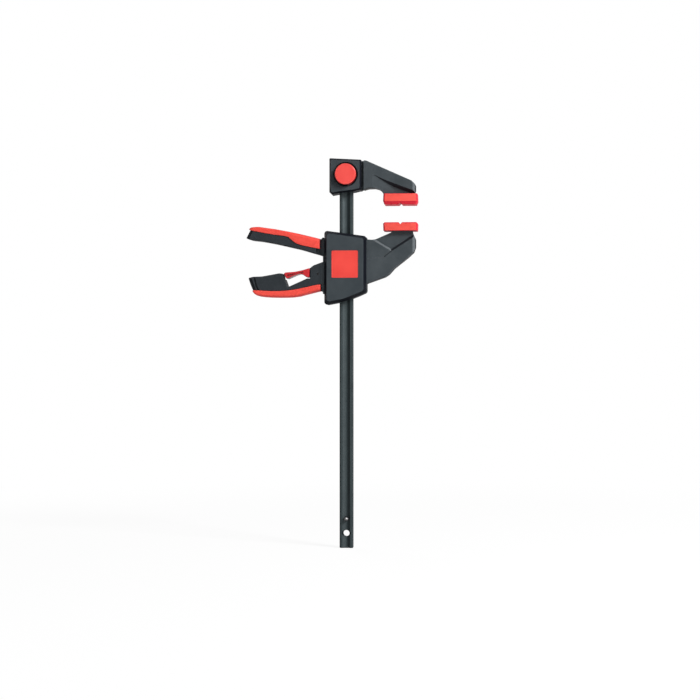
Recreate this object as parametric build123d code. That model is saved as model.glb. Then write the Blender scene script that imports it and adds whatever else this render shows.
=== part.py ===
"""Quick release bar clamp with a pump lever, as separate pieces in millimetres.

+Z runs up the rail towards the fixed jaw, +X points from the rail to the pads, and -Y is the front.
The origin is the middle of the V-groove in the fixed jaw's clamping face. Every piece is drawn with
the rail's centre line at x = 0: the head's pieces count heights from the fixed clamping face, and the
slider's pieces from the moving one. The placing at the end sets both at their real distance.
"""
import os
from math import asin, atan2, cos, degrees, radians, sin, sqrt, tan

from build123d import *

# Clamp as a whole
jaw_reach = 69.5  # rail centre line to the middle of the pads
stored_opening = 22.6  # between the clamping faces as stored
closed_gap = 0.4  # left between the pads at the end of the closing travel

# Rail
rail_width = 17.5
rail_thickness = 8.0
rail_corner = 1.5
rail_groove_width = 9.6
rail_groove_depth = 1.4
rail_above = 53.1  # above the fixed clamping face
rail_below = 437.9  # below it
rail_end_chamfer = 0.8
end_hole_diameter = 8.0
end_hole_height = 19.0  # from the rail's foot
end_hole_flare = 1.6
stop_pin_height = 37.5  # from the rail's foot
stop_pin_diameter = 6.0
stop_pin_bore = 3.4
stop_pin_slot = 1.0
stop_pin_stand_out = 3.5

# Clearances
rail_running_gap = 0.3  # between the rail and the slider's guides
rail_seat_gap = 0.15  # between the rail and the fixed head's socket
pin_running_gap = 0.05  # radial, round a turning or sliding pin
pin_seat_gap = 0.02  # radial, round a pin that stays put
moving_gap = 0.4  # beside a moving piece
seat_gap = 0.1  # round a piece that is let into another
stop_gap = 0.3  # where a moving piece comes to rest

# Jaw pads
pad_length = 44.0
pad_width = 28.0
fixed_pad_height = 13.8
moving_pad_height = 10.6
pad_corner = 2.5
pad_edge = 1.8
pad_groove_width = 4.4
pad_groove_depth = 2.6
pad_key_length = 26.0
pad_key_width = 12.0
pad_key_height = 4.0
pad_draft = 0.5

# Jaw arms
arm_thickness = 21.0
arm_edge = 1.0
nose_radius = 5.0
arm_tip = 19.4  # past the middle of the pads
arm_seat = 21.6  # from the middle of the pads to the inner end of their seats
fixed_web_depth = 4.2
fixed_step_width = 4.2
fixed_web_ramp = 27.0
moving_web_depth = 3.2
moving_step_width = 3.2
root_panel_depth = 1.0

# Fixed head
head_left = 21.1  # rail centre line to the head's back
head_right = 19.7
head_above_lock = 21.1
head_top_fall = 2.3
head_cover_rise = 3.5
head_cover_draft = 30.0
head_cover_round = 0.6
head_cover_corner = 1.6
head_reveal = 0.5  # the head's core lies this much inside its covers' outline
head_channel_width = 3.0
head_channel_depth = 7.0
lock_height = 38.6  # button and lock pin above the fixed clamping face

# Push button, lock pin and spring
button_diameter = 26.9
button_recess_diameter = 31.5
button_recess_depth = 4.3  # into the head's core
button_stand_out = 6.0
button_travel = 5.0
button_wall = 2.0
button_round = 1.2
button_rim_depth = 5.2
lock_pin_diameter = 8.0
lock_pin_waist = 5.0
lock_pin_hold = 4.4  # length of the full diameter inside the rail
lock_pin_rear = 7.4
lock_pocket_diameter = 14.0
lock_pocket_depth = 5.0
lock_clip_diameter = 11.5
lock_clip_thickness = 0.9
lock_clip_groove = 0.7
button_spring_radius = 7.5
button_spring_wire = 1.1
button_spring_pitch = 2.6

# Sliding housing
housing_left = 27.6  # rail centre line to the covers' back
housing_right = 26.3
housing_top = 9.8  # below the moving clamping face, at the back
housing_foot = 105.2
housing_reveal = 0.5
cover_rise = 6.5
cover_draft = 27.0
cover_round = 0.9
cover_corner = 4.5
housing_corner = 4.0
cover_wall = 2.0
cover_rim = 3.0
chamber_right = 22.8
guide_top_floor = 21.5  # underside of the top guide
shelf_top = 59.5
shelf_thickness = 4.0
guide_foot_length = 17.7
housing_wall = 3.0
mouth_foot = 43.0
badge_width = 33.5
badge_height = 34.5
badge_thickness = 0.8
badge_middle_x = -0.9
badge_middle_z = 53.1
screw_diameter = 3.0
screw_head_diameter = 5.6
screw_head_height = 2.0
screw_boss_diameter = 6.4
screw_bite = 1.8  # depth of the housing screws in the front cover

# Pump lever
lever_pivot_x = 16.5
lever_pivot_z = 33.3
lever_pin_diameter = 5.0
lever_eye_diameter = 11.0
lever_half_width = 11.5
lever_root_half_width = 8.0
fork_gap = 0.7  # between the rail and the fork's cheeks
lever_nose_x = 13.0
lever_nose_radius = 3.0
lever_stroke = 12.0
lever_wide_end = 38.0  # the full width ends this far from the rail's centre line
grip_half_width = 12.2
grip_tongue_half_width = 4.0
grip_tongue_height = 2.6
grip_edge = 3.0

# Drive plates and spring
drive_plate_count = 3
drive_plate_thickness = 2.2
drive_plate_spacing = 0.1
plate_half_length = 18.5
plate_half_width = 9.8
plate_corner = 2.0
drive_top = 42.3
coil_gap = 0.75  # between the rail's corners and the coils round it
coil_wire = 1.3
drive_spring_pitch = 3.5
brake_spring_pitch = 3.7

# Release lever and brake plate
release_pin_x = 35.7
release_pin_z = 65.2
release_pin_diameter = 3.2
release_pin_inset = 1.6
release_stroke = 6.0
release_half_width = 11.3
release_root_half_width = 4.4
release_hub_diameter = 9.6
release_tip_x = 16.0
brake_thickness = 3.2
brake_hinge_x = 15.5
brake_hinge_z = 67.6
brake_end_x = 18.0
nub_half_width = 1.5
stop_height = 2.0

# Lower handle
handle_half_width = 11.5
handle_edge = 1.0
handle_groove_width = 2.6
handle_groove_depth = 2.0
tip_bevel_length = 4.0
tip_bevel_depth = 2.0
release_edge = 1.0
release_pocket_depth = 2.5

# Derived
groove_radius = ((rail_groove_width / 2) ** 2 + rail_groove_depth**2) / (2 * rail_groove_depth)
half_arm = arm_thickness / 2
head_top = lock_height + head_above_lock
guide_foot_top = housing_foot - guide_foot_length
flip = Rot(180, 0, 0)
coil_radius = sqrt((rail_width / 2) ** 2 + (rail_thickness / 2) ** 2) + coil_gap + coil_wire / 2
release_tip_lift = (release_pin_x - release_tip_x) * sin(radians(release_stroke))
brake_tilt = degrees(asin(release_tip_lift / (brake_hinge_x + release_tip_x)))
nose_reach = lever_pivot_x + lever_nose_x
nose_drop = drive_top - stop_gap - lever_nose_radius - lever_pivot_z
drive_travel = nose_reach * sin(radians(lever_stroke)) + nose_drop * (cos(radians(lever_stroke)) - 1)


def profile(*corners):
    """Face in the clamp's plane with these (x, z) or (x, z, corner radius) corners."""
    points = [corner[:2] for corner in corners]
    radii = [corner[2] if len(corner) > 2 else 0 for corner in corners]
    return make_face(FilletPolyline(*points, radius=radii, close=True))


def layer(face, y_start, y_end, draft=0):
    """Plate of a face between two depths, narrowing towards the second by the draft angle."""
    return extrude(Plane.XZ.offset(-y_start) * face, amount=y_start - y_end, taper=draft)


def rounded(face, half_width, edge):
    """Bar of a face, symmetrical about the middle, with rounded edges along both sides."""
    bar = layer(face, half_width, -half_width)
    return fillet(face_edges(bar, half_width) + face_edges(bar, -half_width), edge)


def both_sides(piece):
    """The piece and its mirror image at the back."""
    return piece + mirror(piece, Plane.XZ)


def block(x_low, x_high, y_low, y_high, z_low, z_high):
    middle = Pos((x_low + x_high) / 2, (y_low + y_high) / 2, (z_low + z_high) / 2)
    return middle * Box(x_high - x_low, y_high - y_low, z_high - z_low)


def cross_rod(x, z, diameter, y_start, y_end):
    """Round bar along Y."""
    length = abs(y_end - y_start)
    return Pos(x, (y_start + y_end) / 2, z) * Rot(90, 0, 0) * Cylinder(diameter / 2, length)


def together(solids):
    """Several loose solids as one piece."""
    piece = Part()
    for solid in solids:
        piece += solid
    return piece


def rail_block(gap, z_low, z_high):
    """Room for the rail with a gap all round."""
    half_x = rail_width / 2 + gap
    half_y = rail_thickness / 2 + gap
    return block(-half_x, half_x, -half_y, half_y, z_low, z_high)


def coil(radius, wire, length, pitch):
    """Helical spring standing on z = 0, of this length over its wire's outer surfaces."""
    path = Pos(0, 0, wire / 2) * Helix(pitch=pitch, height=length - wire, radius=radius)
    return sweep(Plane(origin=path @ 0, z_dir=path % 0) * Circle(wire / 2), path=path)


def drafted(face, y_start, y_end, draft, corner_round, face_round):
    """Layer with draft whose outermost corners and outer face are rounded."""
    piece = layer(face, y_start, y_end, draft)
    slants = piece.edges().filter_by(lambda edge: edge.bounding_box().size.Y > abs(y_end - y_start) - 0.001)
    slants = slants.sort_by(Axis.X)
    piece = fillet(slants[:2] + slants[-2:], corner_round)
    return fillet(face_edges(piece, y_end), face_round)


def face_edges(piece, y):
    """The edges that lie at one depth."""
    return piece.edges().filter_by(lambda edge: abs(edge.bounding_box().min.Y - y) < 0.001
                                   and abs(edge.bounding_box().max.Y - y) < 0.001)


def make_rail():
    section = fillet(Rectangle(rail_width, rail_thickness).vertices(), rail_corner)
    groove_middle = rail_thickness / 2 - rail_groove_depth + groove_radius
    for side in (-1, 1):
        section -= Pos(0, side * groove_middle) * Circle(groove_radius)
    bar = extrude(Plane.XY.offset(-rail_below) * section, rail_above + rail_below)
    bar = chamfer(bar.faces().sort_by(Axis.Z)[0].edges(), rail_end_chamfer)
    foot = -rail_below
    bar -= cross_rod(0, foot + end_hole_height, end_hole_diameter, -rail_thickness, rail_thickness)
    flare_top = rail_thickness / 2
    flare_low = flare_top - end_hole_flare
    flare = Pos(0, -(flare_low + flare_top) / 2, foot + end_hole_height) * Rot(90, 0, 0) * Cone(
        end_hole_diameter / 2, end_hole_diameter / 2 + end_hole_flare, flare_top - flare_low)
    bar -= both_sides(flare)
    bar -= cross_rod(0, foot + stop_pin_height, stop_pin_diameter, -rail_thickness, rail_thickness)
    bar -= cross_rod(0, lock_height, lock_pin_diameter + 2 * pin_running_gap, -rail_thickness, rail_thickness)
    half_slot = lock_pin_waist / 2 + stop_gap
    bar -= block(-half_slot, half_slot, -rail_thickness, rail_thickness, lock_height, rail_above + 1)
    return bar


def make_stop_pin():
    z = stop_pin_height - rail_below
    reach = rail_thickness / 2 + stop_pin_stand_out
    pin = cross_rod(0, z, stop_pin_diameter - 2 * pin_seat_gap, -reach, reach)
    pin = chamfer(pin.edges(), (stop_pin_diameter - stop_pin_bore) / 6)
    pin -= cross_rod(0, z, stop_pin_bore, -reach, reach)
    return pin - block(0, stop_pin_diameter, -reach, reach, z - stop_pin_slot / 2, z + stop_pin_slot / 2)


def pad_key(height, clearance=0.0):
    """Tongue of an arm that the pad is pushed onto, hanging from z = height."""
    half_length = pad_key_length / 2 + clearance
    half_width = pad_key_width / 2 + clearance
    low = height - pad_key_height - clearance
    return block(jaw_reach - half_length, jaw_reach + half_length, -half_width, half_width, low, height)


def make_pad(height):
    """Pad with its clamping face at z = 0 and its seat at z = height."""
    plan = chamfer(Rectangle(pad_length, pad_width).vertices(), pad_corner)
    pad = extrude(plan, height)
    pad = chamfer(pad.faces().sort_by(Axis.Z)[0].edges(), pad_edge)
    pad = chamfer(pad.faces().sort_by(Axis.Z)[-1].edges(), pad_draft)
    half = pad_groove_width / 2
    groove = profile((-half, 0), (0, pad_groove_depth), (half, 0), (0, -half))
    pad -= layer(groove, pad_width, -pad_width)
    return Pos(jaw_reach, 0, 0) * pad - pad_key(height, seat_gap) - pad_key(height + 1, seat_gap)


def nose_plan(tip_x, low, high):
    """Upright bar with a rounded nose at the arm's tip, which rounds the arm in plan."""
    plan = Rectangle(tip_x + 2 * jaw_reach, arm_thickness, align=(Align.MAX, Align.CENTER))
    corners = plan.vertices().group_by(Axis.X)[-1]
    plan = Pos(tip_x, 0) * fillet(corners, nose_radius)
    return extrude(Plane.XY.offset(low) * plan, high - low)


def head_outline(inset=0.0):
    right_top = head_top - head_top_fall
    return profile(
        (-head_left + inset, head_top - inset),
        (head_right - inset, right_top - inset),
        (head_right - inset, lock_height - 19.3 + inset),
        (10.0, lock_height - 21.5 + inset),
        (-8.5, lock_height - 23.5 + inset),
        (-head_left + 3.0 + inset, lock_height - 25.2 + inset),
        (-head_left + inset, lock_height - 22.2 + inset))


def head_screw_places():
    inset = screw_boss_diameter / 2 + 1.6
    return [(-head_left + inset, head_top - inset - 1.0), (-head_left + inset, lock_height - 16.5),
            (head_right - inset, head_top - head_top_fall - inset), (head_right - inset, lock_height - 14.0)]


def fixed_arm_outline():
    right_top = head_top - head_top_fall - head_reveal
    tip = jaw_reach + arm_tip
    seat = fixed_pad_height
    arch = jaw_reach - arm_seat - head_right
    return profile(
        (0, right_top),
        (head_right + 6.1, right_top - 0.4, 6.0),
        (tip - 5.6, seat + 16.9, 4.0),
        (tip, seat + 11.3, 4.0),
        (tip, seat + 4.3, 2.5),
        (tip - 2.0, seat, 1.0),
        (jaw_reach - arm_seat, seat),
        (head_right + 0.85 * arch, seat + 5.9, 8.0),
        (head_right + 0.61 * arch, seat + 7.7, 8.0),
        (head_right + 0.31 * arch, seat + 7.5, 10.0),
        (head_right, seat + 4.9),
        (0, seat + 4.9))


def make_fixed_jaw():
    arm = rounded(fixed_arm_outline(), half_arm, arm_edge)
    arm &= nose_plan(jaw_reach + arm_tip, -rail_width, head_top)
    core = layer(head_outline(head_reveal), half_arm, -half_arm)
    seat = fixed_pad_height
    line = profile(
        (jaw_reach - 43.5, seat + 28.9),
        (jaw_reach - 19.2, seat + 17.7),
        (jaw_reach, seat + 10.2),
        (jaw_reach + 40.5, seat - 4.2),
        (jaw_reach + 40.5, -jaw_reach),
        (jaw_reach - 43.5, -jaw_reach))
    slope = degrees(atan2(fixed_step_width, fixed_web_depth))
    web = layer(line, -half_arm, -half_arm + fixed_web_depth, slope)
    web_start = jaw_reach - 35.9
    lean = degrees(atan2(fixed_web_depth, fixed_web_ramp))
    leaning = block(-jaw_reach, 2 * jaw_reach, -arm_thickness, 0, -jaw_reach, jaw_reach + head_top)
    web &= Pos(web_start, -half_arm, 0) * Rot(0, 0, lean) * leaning
    channel = block(head_right, head_right + head_channel_width, -half_arm, -half_arm + head_channel_depth,
                    0, head_top + 1)
    jaw = arm - both_sides(web) + core - both_sides(channel)
    jaw += pad_key(fixed_pad_height)
    jaw -= rail_block(rail_seat_gap, 0, rail_above + rail_seat_gap)
    jaw -= cross_rod(0, lock_height, button_recess_diameter, -half_arm - 1, -half_arm + button_recess_depth)
    jaw -= cross_rod(0, lock_height, lock_pin_waist + 2 * pin_running_gap, -half_arm, 0)
    jaw -= cross_rod(0, lock_height, lock_pin_diameter + 2 * pin_running_gap, 0, half_arm)
    jaw -= cross_rod(0, lock_height, lock_pocket_diameter, half_arm - lock_pocket_depth, half_arm + 1)
    for x, z in head_screw_places():
        jaw -= cross_rod(x, z, screw_diameter + 2 * pin_seat_gap, -arm_thickness, arm_thickness)
    return jaw


def head_cover(side):
    """Cover of the head at the front (-1) or back (1)."""
    return drafted(head_outline(), side * half_arm, side * (half_arm + head_cover_rise), head_cover_draft,
                   head_cover_corner, head_cover_round)


def make_head_front_cover():
    cover = head_cover(-1)
    cover -= cross_rod(0, lock_height, button_recess_diameter, -arm_thickness, 0)
    for x, z in head_screw_places():
        cover -= cross_rod(x, z, screw_diameter + 2 * pin_seat_gap, -half_arm - head_cover_rise + 1.2, 0)
    return cover


def make_head_rear_cover():
    cover = head_cover(1)
    outer = half_arm + head_cover_rise
    cover -= cross_rod(0, lock_height, lock_pocket_diameter, 0, lock_pin_rear + button_travel + seat_gap)
    for x, z in head_screw_places():
        cover -= cross_rod(x, z, screw_diameter + 2 * pin_seat_gap, 0, arm_thickness)
        cover -= screw_recess(x, z, outer)
    return cover


def make_screw(x, z, head_y, tip_y):
    """Pan head screw with a cross slot, its head towards the back."""
    head = cross_rod(x, z, screw_head_diameter, head_y - screw_head_height, head_y)
    head = fillet(face_edges(head, head_y), screw_head_height / 3)
    slot = screw_head_diameter * 0.32
    depth = screw_head_height / 2
    for half_x, half_z in ((slot, 0.35), (0.35, slot)):
        head -= block(x - half_x, x + half_x, head_y - depth, head_y + 1, z - half_z, z + half_z)
    return head + cross_rod(x, z, screw_diameter, tip_y, head_y - screw_head_height)


def screw_recess(x, z, face):
    """Room for a screw's head in a rear cover's face."""
    return cross_rod(x, z, screw_head_diameter + 2 * seat_gap, face - screw_head_height - seat_gap, face + 1)


def make_head_screws():
    outer = half_arm + head_cover_rise
    return together(make_screw(x, z, outer - seat_gap, -outer + 1.6) for x, z in head_screw_places())


def make_button():
    front = -half_arm - head_cover_rise - button_stand_out
    rim = front + button_wall + button_rim_depth
    cap = cross_rod(0, lock_height, button_diameter, front, rim)
    cap = fillet(face_edges(cap, front), button_round)
    cap -= cross_rod(0, lock_height, button_diameter - 2 * button_wall, front + button_wall, rim + 1)
    boss = cross_rod(0, lock_height, lock_pin_waist + 2 * button_wall, front + button_wall / 2, rim)
    cap += boss
    return cap - cross_rod(0, lock_height, lock_pin_waist + 2 * pin_seat_gap, front + button_wall, rim + 1)


def make_lock_pin():
    front = -half_arm - head_cover_rise - button_stand_out + button_wall
    shoulder = rail_thickness / 2 - lock_pin_hold
    pin = cross_rod(0, lock_height, lock_pin_waist, front, shoulder)
    full = cross_rod(0, lock_height, lock_pin_diameter, shoulder, lock_pin_rear)
    clip_y = half_arm - lock_pocket_depth + seat_gap
    groove = cross_rod(0, lock_height, lock_pin_diameter + 1, clip_y, clip_y + lock_clip_thickness)
    groove -= cross_rod(0, lock_height, lock_pin_diameter - 2 * lock_clip_groove, 0, half_arm)
    return pin + full - groove


def make_lock_pin_clip():
    clip_y = half_arm - lock_pocket_depth + seat_gap
    ring = cross_rod(0, lock_height, lock_clip_diameter, clip_y + 0.05, clip_y + lock_clip_thickness - 0.05)
    inner = lock_pin_diameter - 2 * lock_clip_groove + 2 * pin_seat_gap
    ring -= cross_rod(0, lock_height, inner, 0, half_arm)
    return ring - block(-inner / 3, inner / 3, 0, half_arm, lock_height - lock_clip_diameter, lock_height)


def make_button_spring():
    seat = -half_arm + button_recess_depth
    top = -half_arm - head_cover_rise - button_stand_out + button_wall
    spring = coil(button_spring_radius, button_spring_wire, seat - top - 2 * seat_gap, button_spring_pitch)
    return Pos(0, seat - seat_gap, lock_height) * Rot(90, 0, 0) * spring


def housing_outline(inset=0.0, corner=0.0):
    return profile(
        (-housing_left + inset, -housing_top - inset, corner),
        (housing_right - inset, -housing_top - 7.6 - inset, corner),
        (housing_right - inset, -housing_foot + 16.4 + inset, corner),
        (17.5, -housing_foot + 12.4 + inset),
        (-2.0, -housing_foot + 4.7 + inset),
        (-housing_left + inset, -housing_foot + inset, corner))


def housing_screw_places():
    top = housing_top + 6.0
    return [(-housing_left + 7.0, -top), (rail_width / 2 + 5.0, -top - 3.4),
            (-housing_left + 7.0, -housing_foot + 8.0), (rail_width / 2 + 5.0, -guide_foot_top - 3.4)]


def moving_arm_outline():
    seat = -moving_pad_height
    tip = jaw_reach + arm_tip
    return profile(
        (0, -24.0),
        (20.0, -21.0),
        (33.6, -21.9, 10.0),
        (38.7, -20.8, 10.0),
        (jaw_reach - 12.0, seat - 2.0, 1.0),
        (jaw_reach - 11.0, seat),
        (tip - 4.2, seat),
        (tip - 3.6, seat - 3.0, 1.0),
        (tip, seat - 11.2, 3.0),
        (tip, seat - 20.6, 4.0),
        (tip - 2.6, seat - 27.4, 4.0),
        (tip - 9.4, seat - 33.6, 8.0),
        (jaw_reach - 7.7, seat - 47.6),
        (jaw_reach - 14.5, seat - 55.2, 8.0),
        (jaw_reach - 19.5, seat - 58.6, 8.0),
        (20.0, seat - 69.2),
        (0, seat - 69.2))


def side_bevel(low, high, half_width):
    """Cutters that bevel a bar's two sides along its end, which runs between these (x, z) points."""
    along = Vector(high[0] - low[0], 0, high[1] - low[1])
    across = Vector(0, 1, 0).cross(along).normalized()
    inward = across if across.X > 0 else -across
    end = Plane(origin=(low[0], 0, low[1]), x_dir=inward, z_dir=along)
    slope = tip_bevel_depth / tip_bevel_length
    cutters = Part()
    for side in (-1, 1):
        corners = [
            (-2, side * (half_width - tip_bevel_depth - 2 * slope)),
            (tip_bevel_length, side * half_width),
            (tip_bevel_length, side * (half_width + 2)),
            (-2, side * (half_width + 2))]
        wedge = make_face(Polyline(*corners, close=True))
        cutters += extrude(end * wedge, amount=2 * along.length, both=True)
    return cutters


def handle_grooves():
    """Slanting groove across both sides of the lower handle, near its tip."""
    half = handle_groove_width / 2
    line = profile(
        (-118.8 - half, -64.0),
        (-118.8 + half, -64.0),
        (-115.0 + half, -80.0, 6.0),
        (-108.0, -92.0),
        (-111.0, -92.0),
        (-115.0 - half, -80.0, 6.0))
    return both_sides(layer(line, -handle_half_width - 1, -handle_half_width + handle_groove_depth))


def handle_outline():
    """Core of the lower handle with the release lever's window."""
    return profile(
        (-22.0, -47.2),
        (-35.7, -52.1, 6.0),
        (-41.2, -54.1, 3.0),
        (-45.9, -57.6, 1.0),
        (-45.9, -70.9),
        (-49.8, -70.9, 0.8),
        (-74.8, -82.0, 1.2),
        (-78.3, -71.9, 0.5),
        (-79.8, -71.6, 0.5),
        (-80.9, -64.6, 1.0),
        (-86.0, -64.2, 4.0),
        (-97.4, -66.3, 20.0),
        (-108.0, -68.1, 20.0),
        (-119.0, -68.4, 6.0),
        (-125.4, -70.0, 1.2),
        (-122.4, -79.0, 10.0),
        (-119.6, -85.6, 1.0),
        (-104.0, -86.7, 60.0),
        (-84.5, -87.0, 60.0),
        (-62.0, -84.8, 60.0),
        (-46.0, -80.9, 60.0),
        (-31.6, -78.6),
        (-31.6, -87.5, 1.0),
        (-22.0, -90.0))


def make_slide_body():
    arm = rounded(moving_arm_outline(), half_arm, arm_edge)
    arm &= nose_plan(jaw_reach + arm_tip, -2 * housing_foot, 0)
    bend = (jaw_reach - 12.0, -37.5)
    past_tip = jaw_reach + 40.5
    panel = profile(
        (5.0, -49.0),
        (jaw_reach - 20.5, -44.4, 6.0),
        bend,
        (past_tip, -3.6),
        (past_tip, arm_thickness),
        (5.0, arm_thickness))
    pocket = profile(
        (20.0, -14.6),
        bend,
        (past_tip, -3.6),
        (past_tip, arm_thickness),
        (20.0, arm_thickness))
    slope = degrees(atan2(moving_step_width, moving_web_depth))
    recess = layer(panel, -half_arm, -half_arm + root_panel_depth, 45.0)
    recess += layer(pocket, -half_arm, -half_arm + moving_web_depth, slope)
    arm -= both_sides(recess)
    core = layer(housing_outline(housing_reveal, housing_corner), half_arm, -half_arm)
    handle = rounded(handle_outline(), handle_half_width, handle_edge)
    handle -= side_bevel((-125.4, -70.0), (-119.6, -85.6), handle_half_width)
    handle -= handle_grooves()
    handle &= block(-200, -housing_left, -20, 20, -200, 0) + block(-40, 0, -half_arm, half_arm, -200, 0)
    left_wall = block(-29.4, -20, -half_arm, half_arm, -90.5, -mouth_foot)
    body = arm + core + handle + left_wall + flip * pad_key(moving_pad_height)
    wide = arm_thickness
    chamber_left = -housing_left + housing_wall - 1.8
    body -= block(chamber_left, chamber_right, -wide, wide, -shelf_top, -guide_top_floor)
    body -= block(-40, chamber_left + 1, -wide, wide, -mouth_foot, -guide_top_floor)
    body -= block(-40, -housing_left + housing_reveal, -wide, wide, -mouth_foot, 0)
    shelf_foot = shelf_top + shelf_thickness
    body -= block(-22.0, chamber_right, -wide, wide, -guide_foot_top, -shelf_foot)
    body -= rail_block(rail_running_gap, -2 * housing_foot, 0)
    root_room = lever_root_half_width + moving_gap
    body -= block(-lever_wide_end - 2.5, chamber_left + 1, -root_room, root_room, -53.5, -mouth_foot + 1)
    arm_room = release_root_half_width + moving_gap
    body -= block(-45.9 - 1, -21.0, -arm_room, arm_room, -73.5, -57.5)
    pin_z = -release_pin_z
    body -= cross_rod(-release_pin_x, pin_z, release_pin_diameter + 2 * pin_seat_gap, -wide, wide)
    nub = block(brake_hinge_x - nub_half_width, chamber_right + 1, -plate_half_width, plate_half_width,
                -brake_hinge_z + stop_gap, -shelf_foot + 1)
    stop = block(lever_pivot_x, chamber_right + 1, -plate_half_width, plate_half_width,
                 -drive_top + seat_gap, -drive_top + seat_gap + stop_height)
    body += nub + stop
    for x, z in housing_screw_places():
        body -= cross_rod(x, z, screw_diameter + 2 * pin_seat_gap, -wide, wide)
    return body


def cover_shell(side):
    """Hollow cover of the housing at the front (-1) or back (1), with its bosses."""
    outer = side * (half_arm + cover_rise)
    inner = side * (half_arm + cover_rise - cover_wall)
    solid = drafted(housing_outline(), side * half_arm, outer, cover_draft, cover_corner, cover_round)
    shell = solid - layer(housing_outline(cover_rim), side * half_arm, inner, cover_draft)
    boss = cross_rod(lever_pivot_x, -lever_pivot_z, lever_eye_diameter - 2,
                     side * (lever_root_half_width + stop_gap), inner)
    shell += boss
    for x, z in housing_screw_places():
        shell += cross_rod(x, z, screw_boss_diameter, side * half_arm, inner) & solid
    reach = side * (half_arm + cover_rise - cover_wall - 0.4)
    shell -= cross_rod(lever_pivot_x, -lever_pivot_z, lever_pin_diameter + 2 * pin_seat_gap, 0, reach)
    return shell


def make_front_cover():
    cover = cover_shell(-1)
    face = -half_arm - cover_rise
    half_x = badge_width / 2 + seat_gap
    half_z = badge_height / 2 + seat_gap
    cover -= block(badge_middle_x - half_x, badge_middle_x + half_x, face - 1, face + badge_thickness,
                   -badge_middle_z - half_z, -badge_middle_z + half_z)
    for x, z in housing_screw_places():
        cover -= cross_rod(x, z, screw_diameter + 2 * pin_seat_gap, -half_arm - screw_bite - 0.4, 0)
    return cover


def make_rear_cover():
    cover = cover_shell(1)
    face = half_arm + cover_rise
    for x, z in housing_screw_places():
        cover -= cross_rod(x, z, screw_diameter + 2 * pin_seat_gap, 0, face + 1)
        cover -= screw_recess(x, z, face)
    return cover


def make_cover_screws():
    head = half_arm + cover_rise - seat_gap
    tip = -half_arm - screw_bite
    return together(make_screw(x, z, head, tip) for x, z in housing_screw_places())


def make_badge_plate():
    face = -half_arm - cover_rise
    half_x = badge_width / 2
    half_z = badge_height / 2
    plate = block(badge_middle_x - half_x, badge_middle_x + half_x, face, face + badge_thickness,
                  -badge_middle_z - half_z, -badge_middle_z + half_z)
    return fillet(plate.edges().filter_by(Axis.Y), 0.8)


def lever_outline():
    """Black core of the lever, from its tip to the fork's eye."""
    return profile(
        (-122.8, -8.9, 0.6),
        (-104.0, -12.6, 60.0),
        (-78.0, -16.5, 20.0),
        (-73.6, -17.8, 4.0),
        (-66.5, -24.0, 8.0),
        (-60.0, -27.4, 8.0),
        (-44.0, -31.1, 30.0),
        (-33.6, -32.9),
        (-33.4, -21.8, 0.5),
        (-30.7, -19.5, 0.8),
        (-29.7, -18.1, 0.5),
        (-27.9, -19.3, 0.3),
        (-27.5, -23.0, 1.0),
        (8.0, -25.0, 4.0),
        (lever_pivot_x, -lever_pivot_z + lever_eye_diameter / 2),
        (lever_pivot_x, -lever_pivot_z - lever_eye_diameter / 2),
        (2.0, -39.6, 4.0),
        (-22.5, -39.8, 3.0),
        (-29.3, -42.4, 2.0),
        (-37.0, -39.9),
        (-58.8, -33.5, 80.0),
        (-90.9, -26.1, 200.0),
        (-109.0, -22.7, 100.0),
        (-121.0, -21.4, 20.0),
        (-128.2, -19.2, 0.8))


def make_pump_lever():
    core = rounded(lever_outline(), lever_half_width, handle_edge)
    core -= side_bevel((-128.2, -19.2), (-122.8, -8.9), lever_half_width)
    narrow = block(-lever_wide_end, 60, -lever_root_half_width, lever_root_half_width, -80, 0)
    wide = block(-200, -lever_wide_end, -30, 30, -80, 20)
    core &= narrow + wide
    core += cross_rod(lever_pivot_x, -lever_pivot_z, lever_eye_diameter,
                      -lever_root_half_width, lever_root_half_width)
    nose_z = -drive_top + stop_gap + lever_nose_radius
    core += cross_rod(-lever_nose_x, nose_z, 2 * lever_nose_radius,
                      -lever_root_half_width, lever_root_half_width)
    cheek = rail_thickness / 2 + fork_gap
    rail_half = rail_width / 2 + 3.0
    core -= block(-rail_half - 1.0, 60, -cheek, cheek, -80, 0)
    core -= cross_rod(lever_pivot_x, -lever_pivot_z, lever_pin_diameter + 2 * pin_running_gap, -20, 20)
    return core + lever_tongue()


def lever_tongue(clearance=0.0):
    """Rib on the lever's back that the grip is moulded round."""
    rise = grip_tongue_height + clearance
    rib = profile(
        (-116.0, -10.4 + rise),
        (-78.0, -16.6 + rise),
        (-66.0, -22.8 + rise),
        (-60.0, -27.4 + rise),
        (-40.0, -31.9 + rise),
        (-40.0, -36.0),
        (-60.0, -31.0),
        (-78.0, -20.0),
        (-116.0, -14.0))
    half = grip_tongue_half_width + clearance
    return layer(rib, half, -half)


def make_lever_grip():
    outline = profile(
        (-120.5, -12.5),
        (-124.6, -7.9, 2.6),
        (-120.4, -4.9, 3.0),
        (-112.0, -4.6, 20.0),
        (-90.9, -7.7, 100.0),
        (-71.7, -11.4, 200.0),
        (-33.6, -20.6),
        (-33.6, -35.0),
        (-44.0, -34.0),
        (-60.0, -30.0),
        (-70.0, -23.5),
        (-80.0, -19.0))
    grip = rounded(outline, grip_half_width, grip_edge)
    core = layer(lever_outline(), 2 * grip_half_width, -2 * grip_half_width)
    return grip - core - lever_tongue()


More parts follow.
